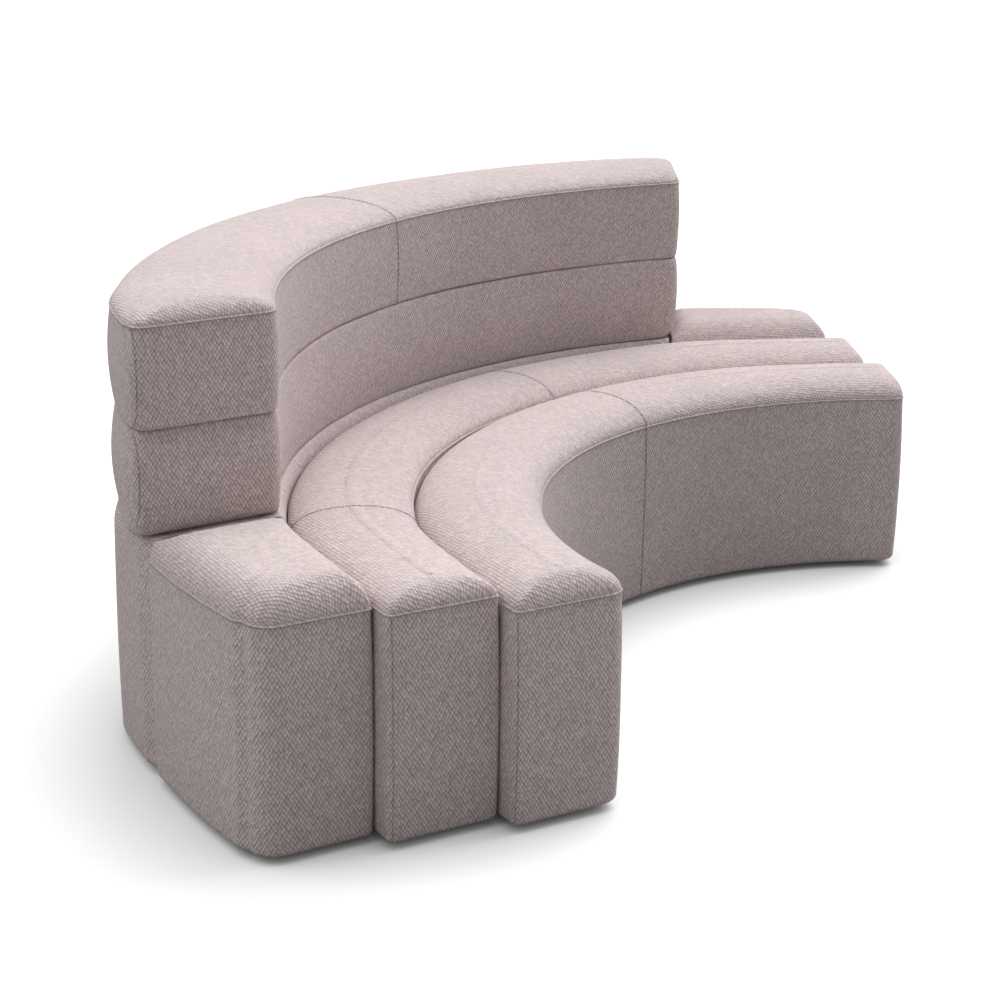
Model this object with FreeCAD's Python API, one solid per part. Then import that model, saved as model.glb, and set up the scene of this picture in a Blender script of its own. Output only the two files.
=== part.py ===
import FreeCAD, Part
import copy
import math
import os

# Upholstered banquette bench: three curved seat strips side by side and a two-roll backrest on the
# rear one. Lengths are millimetres, angles are degrees. X runs to the viewer's right as they face the
# seat, Y to the back, Z up. While modelling, the origin is the common centre of all the arcs, on the
# floor; the last step moves it to the middle of the bench's footprint.

# Seat strips, from the inner face of the front one outwards
inner_radius = 836.0
front_width = 242.0
middle_width = 233.0
rear_width = 319.0
strip_gap = 1.2
back_setback = 14.0
back_outer_setback = 8.0

# End faces: the strips' are parallel on one side, each a step behind the one in front of it
end_face_angle = 58.5
front_end_offset = 54.0
end_step = 45.0
back_face_angle = 62.0
back_end_offset = -525.0

# Joint between the rear strip's middle part and an end block, right under the backrest's end face
split_gap = 2.0

# The joints between the strips and the bench's outer side curve inwards towards the ends: how far each
# one does, and from which angle on and to which. The outer side bends softly, then runs nearly straight.
front_joint_draw = 17.0
rear_joint_draw = 36.0
joint_draw_angles = (36.0, 52.0)
outer_draw = 140.0
outer_draw_angles = (35.0, 56.5)
outer_draw_softness = 1.2
outer_draw_power = 0.75

# The backrest follows them less: how far its outer side curves in towards its ends
back_draw = 40.0
back_draw_angles = (33.0, 46.0)

# Heights above the floor
underside = 14.0
front_seam = 400.0
front_crown = 452.0
rear_seam_rise = 17.0
middle_crown_rise = 8.0
block_crown_rise = 22.0
block_slope_length = 110.0
back_underside = 450.0
back_roll_joint = 644.0
back_seam = 823.0
back_crown = 860.0
roll_gap = 0.6

# Cushion sides and ends bulge out between a rounded foot and the top seam, least where they are pressed
# against a neighbour
seat_side_bulge = 2.0
seat_end_bulge = 4.0
roll_inner_bulge = 4.0
roll_outer_bulge = 8.0
roll_end_bulge = 4.0
foot_round = 12.0
roll_foot_round = 10.0
roll_edge_round = 9.0
side_height_shares = (0.0, 0.3, 0.7, 1.0)
edge_shares = ((1.0, 0.0), (0.3, 0.3), (0.0, 1.0))

# Cushion tops: how far in from the side, as shares of the half width, and how high, as shares of
# the rise from seam to crown
crown_shares = ((0.05, 0.34), (0.24, 0.68), (0.55, 0.9), (0.86, 1.0))
block_crown_shares = ((0.04, 0.36), (0.17, 0.71), (0.38, 0.94), (0.6, 1.0))
rear_top_shares = ((0.02, 0.5), (0.06, 0.85), (0.11, 1.0))

# How much of that inset a crown takes at a free end, at a block's free end and at a split
end_crown_share = 0.49
block_end_crown_share = 0.63
split_crown_share = 0.08

# Upright corners of the ends
strip_inner_corner = 34.0
strip_outer_corner = 12.0
split_corner = 12.0
block_outer_corner = 45.0
back_inner_corner = 36.0
back_outer_corner = 20.0
corner_width_share = 0.45

# The long sides of a cushion and of a board turn in straight steps of about these angles, and a cushion's
# corners in these parts
side_turn = 5.0
board_turn = 3.0
corner_shares = (0.0, 0.33, 0.67, 1.0)
wide_corner_shares = (0.0, 0.25, 0.5, 0.75, 1.0)

# Foam over the timber
seat_foam = 32.0
back_foam = 44.0

# Timber carcasses
board_thickness = 18.0
skin_thickness = 4.0
seat_board_top = 350.0
back_board_top = 792.0
fit_gap = 0.3
seat_rib_angles = (-36.0, 0.0, 36.0)
rear_rib_angles = (-20.0, 0.0, 20.0)
back_rib_angles = (-20.0, 0.0, 20.0)

# Steel posts that carry the backrest
post_size = 30.0
post_wall = 2.0
post_plate_size = 80.0
post_plate_thickness = 4.0
post_angles = (-30.0, -10.0, 10.0, 30.0)

# Flat steel plates under the base boards that hold neighbouring strips together
link_plate_length = 180.0
link_plate_width = 40.0
link_plate_thickness = 4.0
link_plate_angles = (-47.0, -16.0, 16.0, 47.0)

# Square glides
glide_size = 40.0
glide_edge_inset = 70.0
front_glide_angles = (-56.0, -19.0, 19.0, 56.0)
middle_glide_angles = (-50.0, 0.0, 50.0)
rear_glide_angles = (-33.0, 0.0, 33.0)
block_glide_angles = (-50.0, 50.0)

# Overrun for shapes that cut others
overrun = 10.0

Vec = FreeCAD.Vector
UP = Vec(0, 0, 1)
ORIGIN = Vec(0, 0, 0)
LEFT = -1
RIGHT = 1

# Radii of the strips' faces at their widest
front_in = inner_radius
front_out = front_in + front_width - strip_gap
middle_in = front_in + front_width
middle_out = middle_in + middle_width - strip_gap
rear_in = middle_in + middle_width
rear_out = rear_in + rear_width
back_in = rear_in + back_setback
back_out = rear_out - back_outer_setback

# Offsets of the end faces from the radial plane at the end face angle
middle_end_offset = front_end_offset - end_step
rear_end_offset = middle_end_offset - end_step

# Bulges of the long sides, inner and outer
seat_bulges = (seat_side_bulge, seat_side_bulge)
roll_bulges = (roll_inner_bulge, roll_outer_bulge)

# Heights that follow
rear_seam = front_seam + rear_seam_rise
middle_crown = front_crown + middle_crown_rise
block_crown = middle_crown + block_crown_rise
rear_pad_crown = back_underside - fit_gap
base_board_top = underside + board_thickness
seat_board_bottom = seat_board_top - board_thickness


def polar(radius, angle):
    """Plan point at a radius and at an angle from the bench's middle line, positive to the right."""
    turn = math.radians(angle)
    return Vec(radius * math.sin(turn), radius * math.cos(turn), 0)


def plan_angle(point):
    """Angle of a plan point from the middle line."""
    return math.degrees(math.atan2(point.x, point.y))


def mirrored(shape):
    """The same shape on the other side of the middle line."""
    return shape.mirror(ORIGIN, Vec(1, 0, 0))


def ramp(angle, first, last):
    """Soft step from nothing at the first angle to one at the last, the same on both sides."""
    share = min(max((abs(angle) - first) / (last - first), 0), 1)
    return share ** 2 * (3 - 2 * share)


def outer_share(angle):
    """Share of the outer side's draw at an angle."""
    first, last = outer_draw_angles
    past = abs(angle) - first
    past = (past + math.hypot(past, outer_draw_softness)) / 2
    return (past / (last - first)) ** outer_draw_power


def drawn(radius, angle):
    """Plan radius at an angle, with the joints and the outer side curved inwards towards the ends."""
    joint_share = ramp(angle, *joint_draw_angles)
    sides = [(front_in, 0), (middle_in, front_joint_draw * joint_share),
             (rear_in, rear_joint_draw * joint_share), (rear_out, outer_draw * outer_share(angle))]
    for (low, low_draw), (high, high_draw) in zip(sides, sides[1:]):
        if radius <= high:
            return radius - low_draw - (high_draw - low_draw) * (radius - low) / (high - low)


def back_drawn(radius, angle):
    """Plan radius at an angle for the backrest, whose outer side curves in less."""
    share = (radius - back_in) / (back_out - back_in)
    return radius - back_draw * ramp(angle, *back_draw_angles) * share


class Corner:
    """Rounded upright corner of a cushion: its radius and the parts of the turn where it has a point."""

    def __init__(self, rounding, shares=corner_shares):
        self.rounding = rounding
        self.shares = shares


class End:
    """One end of a curved strip: a plane on the right or left side, facing outward or inward."""

    def __init__(self, offset, side=RIGHT, facing=1, bulge=seat_side_bulge,
                 inner=Corner(split_corner), outer=Corner(split_corner), angle=end_face_angle, contour=drawn):
        self.offset = offset
        self.home = offset
        self.side = side
        self.facing = facing
        self.bulge = bulge
        self.inner = inner
        self.outer = outer
        self.angle = angle
        self.contour = contour
        self.crown_share = end_crown_share

    def moved_in(self, inset):
        """The same end, pulled into the strip."""
        end = copy.copy(self)
        end.offset -= self.facing * inset
        return end

    def point(self, radius, offset):
        """Plan point where a radius meets this end's plane, moved to an offset, as if on the right."""
        along = polar(1, self.angle)
        outward = polar(1, self.angle + 90)
        return along * math.sqrt(radius ** 2 - offset ** 2) + outward * offset

    def corner_point(self, radius):
        """Plan point where a drawn long side meets this end's plane, as if on the right."""
        return self.point(self.contour(radius, plan_angle(self.point(radius, self.home))), self.offset)

    def on_side(self, point):
        """A right-hand plan point, taken to this end's side."""
        return Vec(self.side * point.x, point.y, 0)

    def corner(self, radius_in, radius_out, outer):
        """Plan points of one rounded corner, from the strip's long side to the end plane."""
        corner, inward, radius = (self.outer, -1, radius_out) if outer else (self.inner, 1, radius_in)
        rounding = min(corner.rounding, (radius_out - radius_in) * corner_width_share)
        radius = self.contour(radius, plan_angle(self.point(radius, self.home)))
        centre = self.point(radius + inward * rounding, self.offset - self.facing * rounding)
        radial = polar(-inward, plan_angle(self.point((radius_in + radius_out) / 2, self.home)))
        outward = polar(self.facing, self.angle + 90)
        points = []
        for share in corner.shares:
            direction = radial * (1 - share) + outward * share
            points.append(self.on_side(centre + direction * (rounding / direction.Length)))
        return points


def side_points(radius, start, end, stations, contour):
    """Plan points of a long side: at the stations, and half way from them to either corner."""
    before = (plan_angle(start) + stations[0]) / 2
    after = (plan_angle(end) + stations[-1]) / 2
    return [polar(contour(radius, angle), angle) for angle in [before] + stations + [after]]


def outline(radius_in, radius_out, left, right, stations, height):
    """Closed plan outline of a curved strip with rounded corners, at a height."""
    far_left, far_right = [end.corner(radius_in, radius_out, True) for end in (left, right)]
    near_left, near_right = [end.corner(radius_in, radius_out, False) for end in (left, right)]
    far = side_points(radius_out, far_left[0], far_right[0], stations, left.contour)
    near = side_points(radius_in, near_right[0], near_left[0], stations[::-1], left.contour)
    points = far_left[::-1] + far + far_right + near_right[::-1] + near + near_left
    wire = Part.makePolygon(points + points[:1])
    wire.translate(UP * height)
    return wire


def stations_within(radius_in, radius_out, left, right):
    """Angles at even steps that stay between the corners of a strip, or else the one half way."""
    corners = [[plan_angle(end.corner(radius_in, radius_out, outer)[0]) for outer in (False, True)]
               for end in (left, right)]
    first, last = max(corners[0]), min(corners[1])
    stations = [step * side_turn for step in range(math.ceil(first / side_turn), math.ceil(last / side_turn))]
    return stations or [(first + last) / 2]


def cushion(radius_in, radius_out, left, right, bulges, sections):
    """Closed cushion through plan outlines: each an inset, a share of the bulges drawn in, and a height."""
    inner_bulge, outer_bulge = bulges
    seam = max(height for inset, drawn_in, height in sections if inset == 0)

    def strip(inset, drawn_in, height):
        inset_ends = [end.moved_in(inset * (end.crown_share if height > seam else 1) + end.bulge * drawn_in)
                      for end in (left, right)]
        return radius_in + inset + inner_bulge * drawn_in, radius_out - inset - outer_bulge * drawn_in, *inset_ends

    narrowest = max(sections, key=lambda section: section[0])
    stations = stations_within(*strip(*narrowest))
    wires = [outline(*strip(*section), stations, section[-1]) for section in sections]
    return Part.makeLoft(wires, True, True)


def foot_sections(bottom, rounding):
    """Rounded lower edge of a cushion, up to the foot of its side."""
    return [(rounding * inset, 1, bottom + rounding * rise) for inset, rise in edge_shares]


def side_sections(foot, seam):
    """Bulging side between the foot and the seam, without its two ends."""
    return [(0, 1 - 4 * share * (1 - share), foot + (seam - foot) * share)
            for share in side_height_shares[1:-1]]


def top_sections(seam, crown, width, shares):
    """Seam line and crowned top of a cushion."""
    rises = [(width / 2 * inset, 1, seam + (crown - seam) * rise) for inset, rise in shares]
    return [(0, 1, seam)] + rises


def seat_sections(width, seam, crown, shares):
    """All the outlines of a seat strip's cushion."""
    foot = foot_sections(underside, foot_round)
    return foot + side_sections(foot[-1][-1], seam) + top_sections(seam, crown, width, shares)


def board_side(radius, left, right):
    """Plan points of a board's long edge, from its left end to its right one."""
    start, end = [end.on_side(end.corner_point(radius)) for end in (left, right)]
    first, last = plan_angle(start), plan_angle(end)
    count = math.ceil((last - first) / board_turn)
    between = [first + (last - first) * step / count for step in range(1, count)]
    return [start] + [polar(left.contour(radius, angle), angle) for angle in between] + [end]


def board(radius_in, radius_out, left, right, bottom, top):
    """Flat curved piece of even thickness with square corners."""
    points = board_side(radius_out, left, right) + board_side(radius_in, left, right)[::-1]
    face = Part.Face(Part.makePolygon(points + points[:1]))
    face.translate(UP * bottom)
    return face.extrude(UP * (top - bottom))


def both_ends(offset, *facts):
    """The two outer ends of a strip that is the same on both sides."""
    return [End(offset, side, 1, *facts) for side in (LEFT, RIGHT)]


def back_ends(offset):
    """The two ends of the backrest."""
    corners = Corner(back_inner_corner), Corner(back_outer_corner)
    return [End(offset, side, 1, roll_end_bulge, *corners, back_face_angle, back_drawn)
            for side in (LEFT, RIGHT)]


def seat_pad(radius_in, radius_out, ends, seam, crown, shares):
    """Foam and cover of a full-length seat strip, hollow underneath for its carcass."""
    sections = seat_sections(radius_out - radius_in, seam, crown, shares)
    pad = cushion(radius_in, radius_out, *ends, seat_bulges, sections)
    hollow_ends = [end.moved_in(seat_foam) for end in ends]
    return pad.cut(board(radius_in + seat_foam, radius_out - seat_foam, *hollow_ends,
                         underside - overrun, seat_board_top))


def front_pad():
    """Foam and cover of the front strip."""
    ends = both_ends(front_end_offset, seat_end_bulge, Corner(strip_inner_corner), Corner(strip_outer_corner))
    return seat_pad(front_in, front_out, ends, front_seam, front_crown, crown_shares)


def middle_pad():
    """Foam and cover of the middle strip."""
    ends = both_ends(middle_end_offset, seat_end_bulge, Corner(strip_outer_corner), Corner(strip_outer_corner))
    return seat_pad(middle_in, middle_out, ends, rear_seam, middle_crown, crown_shares)


def split_end(side, facing):
    """End at the joint between the rear strip's middle part and an end block, where the top hardly falls."""
    offset = back_end_offset if facing > 0 else back_end_offset + split_gap
    end = End(offset, side, facing, angle=back_face_angle)
    end.crown_share = split_crown_share
    return end


def rear_pad_ends():
    """The two ends of the rear strip's middle part."""
    return split_end(LEFT, 1), split_end(RIGHT, 1)


def rear_pad():
    """Foam and cover of the rear strip's middle part, pressed flat, with room for the posts."""
    pad = seat_pad(rear_in, rear_out, rear_pad_ends(), rear_seam, rear_pad_crown, rear_top_shares)
    for angle in post_angles:
        pad = pad.cut(post_hole(angle, seat_board_top - overrun, rear_pad_crown + overrun))
        pad = pad.cut(collar_room(angle))
    return pad


def block_ends():
    """Ends of the right end block: against the rear strip's middle part, and free."""
    free_corner = Corner(block_outer_corner, wide_corner_shares)
    free = End(rear_end_offset, RIGHT, 1, seat_end_bulge, Corner(strip_outer_corner), free_corner)
    free.crown_share = block_end_crown_share
    return split_end(RIGHT, -1), free


def block_core(inset, bottom, top):
    """Even solid of the right end block's plan shape, pulled in by an inset."""
    against, free = block_ends()
    free.outer = Corner(block_outer_corner - inset, wide_corner_shares)
    ends = against.moved_in(inset), free.moved_in(inset)
    strip = rear_in + inset, rear_out - inset, *ends
    wire = outline(*strip, stations_within(*strip), bottom)
    return Part.Face(wire).extrude(UP * (top - bottom))


def block_slope():
    """Room over the right end block's top, which rises from the foot of the backrest's end face to the crown."""
    profile = [(-overrun, rear_pad_crown), (0, rear_pad_crown), (block_slope_length, block_crown),
               (block_slope_length, block_crown + overrun), (-overrun, block_crown + overrun)]
    outward = polar(1, back_face_angle + 90)
    points = [outward * (back_end_offset + ahead) + UP * height for ahead, height in profile + profile[:1]]
    return Part.Face(Part.makePolygon(points)).extrude(polar(rear_out, back_face_angle))


def block_pad():
    """Foam and cover of the right end block, which ends the rear strip beyond the backrest."""
    pad = cushion(rear_in, rear_out, *block_ends(), seat_bulges,
                  seat_sections(rear_width, rear_seam, block_crown, block_crown_shares))
    return pad.cut(block_core(seat_foam, underside - overrun, seat_board_top)).cut(block_slope())


def roll(bottom, rounding, sections_above, hollow_top):
    """One roll of the backrest, hollow for the frame up to a height."""
    ends = back_ends(back_end_offset)
    foot = foot_sections(bottom, rounding)
    sections = foot + side_sections(foot[-1][-1], sections_above[0][-1]) + sections_above
    hollow_ends = [end.moved_in(back_foam) for end in ends]
    return cushion(back_in, back_out, *ends, roll_bulges, sections).cut(
        board(back_in + back_foam, back_out - back_foam, *hollow_ends, bottom - overrun, hollow_top))


def lower_roll():
    """Lower roll of the backrest, open through its middle for the frame."""
    top = back_roll_joint - roll_gap
    edge = [(inset, drawn_in, 2 * top - height)
            for inset, drawn_in, height in reversed(foot_sections(top, roll_edge_round))]
    return roll(back_underside, roll_foot_round, edge, top + overrun)


def upper_roll():
    """Upper roll of the backrest, closed over the frame."""
    top = top_sections(back_seam, back_crown, back_out - back_in, crown_shares)
    return roll(back_roll_joint, roll_edge_round, top, back_board_top)


def inner_board(radius_in, radius_out, ends, foam, bottom, top):
    """Curved board or layer inside a strip's foam, with a little room all round."""
    inset = foam + fit_gap
    return board(radius_in + inset, radius_out - inset, *[end.moved_in(inset) for end in ends], bottom, top)


def skin(radius, ends, outer):
    """Thin bent hardboard skin along one side of a seat carcass."""
    inset = seat_foam + fit_gap
    radius_in = radius - inset - skin_thickness if outer else radius + inset
    return board(radius_in, radius_in + skin_thickness, *[end.moved_in(inset) for end in ends],
                 base_board_top, seat_board_bottom)


def end_board(radius_in, radius_out, end, inset, side_inset, bottom, top):
    """Upright board along one end of a carcass."""
    outer, inner = end.moved_in(inset), end.moved_in(inset + board_thickness)
    pair = (inner, outer) if end.facing * end.side == RIGHT else (outer, inner)
    return board(radius_in + side_inset, radius_out - side_inset, *pair, bottom, top)


def turned(solid, angle):
    """Turn a piece from the middle line to its angle."""
    solid.rotate(ORIGIN, UP, -angle)
    return solid


def rib(angle, radius_in, radius_out, bottom, top):
    """Upright plywood rib that stands square across a strip."""
    corner = Vec(-board_thickness / 2, radius_in, bottom)
    return turned(Part.makeBox(board_thickness, radius_out - radius_in, top - bottom, corner), angle)


def carcass(name, radius_in, radius_out, ends, rib_angles):
    """Boards, skins, ribs and end boards of one full-length seat strip."""
    side_inset = seat_foam + skin_thickness + 2 * fit_gap
    low, high = base_board_top, seat_board_bottom
    nodes = {name + "_base_board": inner_board(radius_in, radius_out, ends, seat_foam, underside, low),
             name + "_seat_board": inner_board(radius_in, radius_out, ends, seat_foam, high, seat_board_top),
             name + "_inner_skin": skin(radius_in, ends, False),
             name + "_outer_skin": skin(radius_out, ends, True)}
    for number, angle in enumerate(rib_angles, 1):
        nodes[name + "_rib_" + str(number)] = rib(angle, radius_in + side_inset, radius_out - side_inset,
                                                  low, high)
    for end, word in zip(ends, ("left", "right")):
        nodes[name + "_end_board_" + word] = end_board(radius_in, radius_out, end, seat_foam + fit_gap,
                                                       side_inset, low, high)
    return nodes


def rear_carcass():
    """Carcass of the rear strip's middle part, with the posts' holes in its seat board."""
    nodes = carcass("rear", rear_in, rear_out, rear_pad_ends(), rear_rib_angles)
    for angle in post_angles:
        hole = post_hole(angle, seat_board_bottom - overrun, seat_board_top + overrun)
        nodes["rear_seat_board"] = nodes["rear_seat_board"].cut(hole)
    return nodes


def block_carcass():
    """Boards of the right end block: base, seat and the two upright boards along its ends."""
    inset = seat_foam + fit_gap
    against, free = block_ends()
    low, high = base_board_top, seat_board_bottom
    return {"base_board": block_core(inset, underside, low),
            "seat_board": block_core(inset, high, seat_board_top),
            "inner_board": end_board(rear_in, rear_out, against, inset, inset + split_corner, low, high),
            "end_board": end_board(rear_in, rear_out, free, inset, inset + split_corner, low, high)}


def square_column(size, angle, bottom, top):
    """Upright square column in the middle of the backrest's thickness."""
    corner = Vec(-size / 2, (back_in + back_out - size) / 2, bottom)
    return turned(Part.makeBox(size, size, top - bottom, corner), angle)


def post_hole(angle, bottom, top):
    """Hole that a post passes through with a little room."""
    return square_column(post_size + 2 * fit_gap, angle, bottom, top)


def collar_room(angle):
    """Room in the rear strip's cushion for a post's collar plate."""
    bottom = back_underside - post_plate_thickness - fit_gap
    return square_column(post_plate_size + 2 * fit_gap, angle, bottom, rear_pad_crown + overrun)


def back_post(angle):
    """Square steel tube with a foot plate and a collar plate that the backrest's frame rests on."""
    top = back_board_top - board_thickness
    post = square_column(post_size, angle, base_board_top, top)
    for bottom in (base_board_top, back_underside - post_plate_thickness):
        post = post.fuse(square_column(post_plate_size, angle, bottom, bottom + post_plate_thickness))
    bore = square_column(post_size - 2 * post_wall, angle, base_board_top - overrun, top + overrun)
    return post.cut(bore)


def back_frame():
    """Boards and ribs inside the two rolls."""
    ends = back_ends(back_end_offset)
    low, high = back_underside + board_thickness, back_board_top - board_thickness
    inset = back_foam + fit_gap
    base = inner_board(back_in, back_out, ends, back_foam, back_underside, low)
    for angle in post_angles:
        base = base.cut(post_hole(angle, back_underside - overrun, low + overrun))
    nodes = {"back_base_board": base,
             "back_top_board": inner_board(back_in, back_out, ends, back_foam, high, back_board_top)}
    for number, angle in enumerate(back_rib_angles, 1):
        nodes["back_rib_" + str(number)] = rib(angle, back_in + inset, back_out - inset, low, high)
    for end, word in zip(ends, ("left", "right")):
        nodes["back_end_board_" + word] = end_board(back_in, back_out, end, inset, inset, low, high)
    return nodes


def link_plate(angle, radius):
    """Flat steel plate under two neighbouring base boards, across the gap at a radius."""
    middle = drawn(radius, angle)
    corner = Vec(-link_plate_width / 2, middle - link_plate_length / 2, underside - link_plate_thickness)
    return turned(Part.makeBox(link_plate_width, link_plate_length, link_plate_thickness, corner), angle)


def split_plate(side):
    """Flat steel plate that holds an end block to the rear strip's middle part."""
    corner = Vec(-link_plate_length / 2, (rear_in + rear_out - link_plate_width) / 2,
                 underside - link_plate_thickness)
    plate = Part.makeBox(link_plate_length, link_plate_width, link_plate_thickness, corner)
    joint = split_end(RIGHT, 1).point((rear_in + rear_out) / 2, back_end_offset)
    return turned(plate, side * plan_angle(joint))


def link_plates():
    """All the plates that join the strips and the end blocks."""
    plates = [link_plate(angle, radius) for angle in link_plate_angles for radius in (middle_in, rear_in)]
    plates += [split_plate(side) for side in (LEFT, RIGHT)]
    return Part.makeCompound(plates)


def glide(angle, radius):
    """Square glide between the floor and a base board."""
    corner = Vec(-glide_size / 2, drawn(radius, angle) - glide_size / 2, 0)
    return turned(Part.makeBox(glide_size, glide_size, underside, corner), angle)


def glides():
    """All the glides, near the edges of the boards that they carry."""
    inset = seat_foam + glide_edge_inset
    places = [(front_glide_angles, front_in + inset),
              (middle_glide_angles, (middle_in + middle_out) / 2),
              (rear_glide_angles, rear_out - inset),
              (block_glide_angles, rear_in + inset)]
    return Part.makeCompound([glide(angle, radius) for angles, radius in places for angle in angles])


def build():
    """Every node of the bench, by name."""
    nodes = {"front_pad": front_pad(),
             "middle_pad": middle_pad(),
             "rear_pad": rear_pad(),
             "back_lower_roll": lower_roll(),
             "back_upper_roll": upper_roll()}
    nodes.update(carcass("front", front_in, front_out, both_ends(front_end_offset), seat_rib_angles))
    nodes.update(carcass("middle", middle_in, middle_out, both_ends(middle_end_offset), seat_rib_angles))
    nodes.update(rear_carcass())
    block = block_carcass()
    block["pad"] = block_pad()
    for piece, solid in block.items():
        nodes["block_right_" + piece] = solid
        nodes["block_left_" + piece] = mirrored(solid)
    nodes.update(back_frame())
    for number, angle in enumerate(post_angles, 1):
        nodes["back_post_" + str(number)] = back_post(angle)
    nodes["link_plates"] = link_plates()
    nodes["glides"] = glides()
    return nodes


def export(nodes):
    """Move the origin under the middle of the bench and write one file per node."""
    os.makedirs("parts", exist_ok=True)
    box = Part.makeCompound(list(nodes.values())).optimalBoundingBox()
    shift = Vec(-(box.XMin + box.XMax) / 2, -(box.YMin + box.YMax) / 2, 0)
    for name, shape in nodes.items():
        moved = shape.translated(shift)
        moved.exportStep("parts/" + name + ".step")


export(build())
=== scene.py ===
import bpy
import math
import numpy as np
from collections import namedtuple
from mathutils import Matrix, Vector, noise


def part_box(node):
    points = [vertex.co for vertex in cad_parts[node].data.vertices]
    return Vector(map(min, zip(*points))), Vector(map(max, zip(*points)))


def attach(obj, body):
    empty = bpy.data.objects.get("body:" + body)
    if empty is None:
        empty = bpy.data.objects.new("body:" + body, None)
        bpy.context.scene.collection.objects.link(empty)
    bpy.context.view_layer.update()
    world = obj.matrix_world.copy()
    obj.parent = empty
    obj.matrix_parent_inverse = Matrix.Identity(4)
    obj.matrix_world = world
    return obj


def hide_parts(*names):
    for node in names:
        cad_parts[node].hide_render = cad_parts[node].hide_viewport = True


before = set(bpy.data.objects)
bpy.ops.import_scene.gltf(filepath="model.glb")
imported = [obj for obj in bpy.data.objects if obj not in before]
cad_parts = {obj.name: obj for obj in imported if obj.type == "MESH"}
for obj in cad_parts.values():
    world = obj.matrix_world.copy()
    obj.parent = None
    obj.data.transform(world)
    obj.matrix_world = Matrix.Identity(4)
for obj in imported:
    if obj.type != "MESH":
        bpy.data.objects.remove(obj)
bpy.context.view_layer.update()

LEFT, RIGHT = -1, 1

# Plan of the bench, in metres. All arcs share one centre, on the middle line in front of the seat.
FRONT_IN, MIDDLE_IN, REAR_IN, REAR_OUT = 0.836, 1.078, 1.311, 1.630
STRIP_GAP = 0.0012
BACK_IN, BACK_OUT = REAR_IN + 0.010, REAR_OUT - 0.008
REAR_PAD_SHORT = 0.00032  # how far the CAD's rear pad stays inside its outer radius on the middle line

# The joints between the strips, the outer side and the backrest's outer side curve in towards the ends,
# each by a draw that grows between two angles.
FRONT_DRAW, REAR_DRAW, OUTER_DRAW, BACK_DRAW = 0.017, 0.036, 0.140, 0.040
JOINT_TURN = math.radians(36.0), math.radians(52.0)
OUTER_TURN = math.radians(35.0), math.radians(56.5)
BACK_TURN = math.radians(33.0), math.radians(46.0)
OUTER_SOFT, OUTER_POWER = math.radians(1.2), 0.75

# Ends: the direction of each end face, and how far in front of the arcs' centre its plane runs.
END_FACE, BACK_FACE = math.radians(58.5), math.radians(62.0)
FRONT_END, MIDDLE_END, REAR_END = 0.054, 0.009, -0.036
LOWER_ROLL_END = {LEFT: -0.543, RIGHT: -0.494}
UPPER_ROLL_END = {LEFT: -0.533, RIGHT: -0.494}
SPLIT_END = {LEFT: -0.543, RIGHT: -0.508}
SPLIT_GAP = 0.002

# Rounded upright corners of the ends, inner and outer
FRONT_CORNERS, MIDDLE_CORNERS, BLOCK_CORNERS = (0.034, 0.012), (0.012, 0.012), (0.012, 0.045)
SPLIT_CORNERS, ROLL_CORNERS = (0.003, 0.012), (0.036, 0.020)
CORNER_WIDTH_SHARE, LEAST_CORNER = 0.45, 0.0006

# Heights above the floor
UNDER = 0.014
FRONT_SEAM, FRONT_CROWN = 0.400, 0.452
REAR_SEAM, MIDDLE_CROWN, BLOCK_CROWN = 0.417, 0.460, 0.482
BACK_UNDER, BACK_JOINT, BACK_SEAM, BACK_CROWN = 0.450, 0.644, 0.823, 0.860
REAR_PAD_CROWN = BACK_UNDER - 0.0012
ROLL_GAP = 0.0006
SEAT_BOARD_TOP, BACK_BOARD_TOP = 0.3502, 0.7922

# Cushion sides: bulges of the ends and of the inner and outer long sides, rounded feet and edges, foam
END_BULGE, SPLIT_BULGE, ROLL_END_BULGE = 0.004, 0.002, 0.004
SEAT_BULGES, ROLL_BULGES = (0.002, 0.002), (0.004, 0.008)
FOOT, ROLL_EDGE, SIDE_EASE = 0.012, 0.009, 0.10
ROLL_FOOT, ROLL_FOOT_INSET, ROLL_FOOT_END = 0.028, 0.004, 7.0
FOAM, BACK_FOAM, HOLLOW_LEDGE, LID_MIDDLE = 0.0318, 0.0438, 0.02, 0.01

# Crowns: how far in they reach, as a share of the half width, and how much of that inset an end takes
CROWN_REACH, BLOCK_REACH, REAR_REACH = 0.90, 0.60, 0.11
END_CROWN, BLOCK_END_CROWN, SPLIT_CROWN = 0.42, 0.58, 0.08
CROWN_MIDDLE, CROWN_STEP, CROWN_RISE = 0.010, 0.0002, 0.0003
BLOCK_SLOPE, BLOCK_SLOPE_OVER = {LEFT: 0.110, RIGHT: 0.045}, 0.004
SWELLS = ((3.1, 0.0016), (9, 0.0007))  # uneven padding: how fine, and how high

# Seams: the panel seams' plan angles in degrees, and how far from an end's outer edge its corner seam runs
FRONT_PANELS, MIDDLE_PANELS, ROLL_PANELS = (15.8,), (-37.5, 14.3), (2.5,)
FRONT_CORNER_SEAM, MIDDLE_CORNER_SEAM, ROLL_CORNER_SEAM = 0.004, 0.009, 0.017
CORNER_SEAM_ZONE, FAR_FROM_SEAM = 0.030, 0.1
SEAM_DEPTH, SEAM_WIDTH, CORNER_SEAM_WIDTH = 0.0022, 0.0020, 0.0017
# Painted shade on the cloth along the left joint between the rear strip and its end block: its width, and how
# dark it is painted
SPLIT_SHADE, SPLIT_DARK = 0.005, 0.7
# The lip above a seam: its rise, its height above the seam and its width; the fabric also paints it brighter as
# a highlight
LIP_RISE, LIP_HEIGHT, LIP_WIDTH = 0.0010, 0.0030, 0.0014
RIM_INSET, STILL_EDGE = 0.004, 0.002

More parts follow.
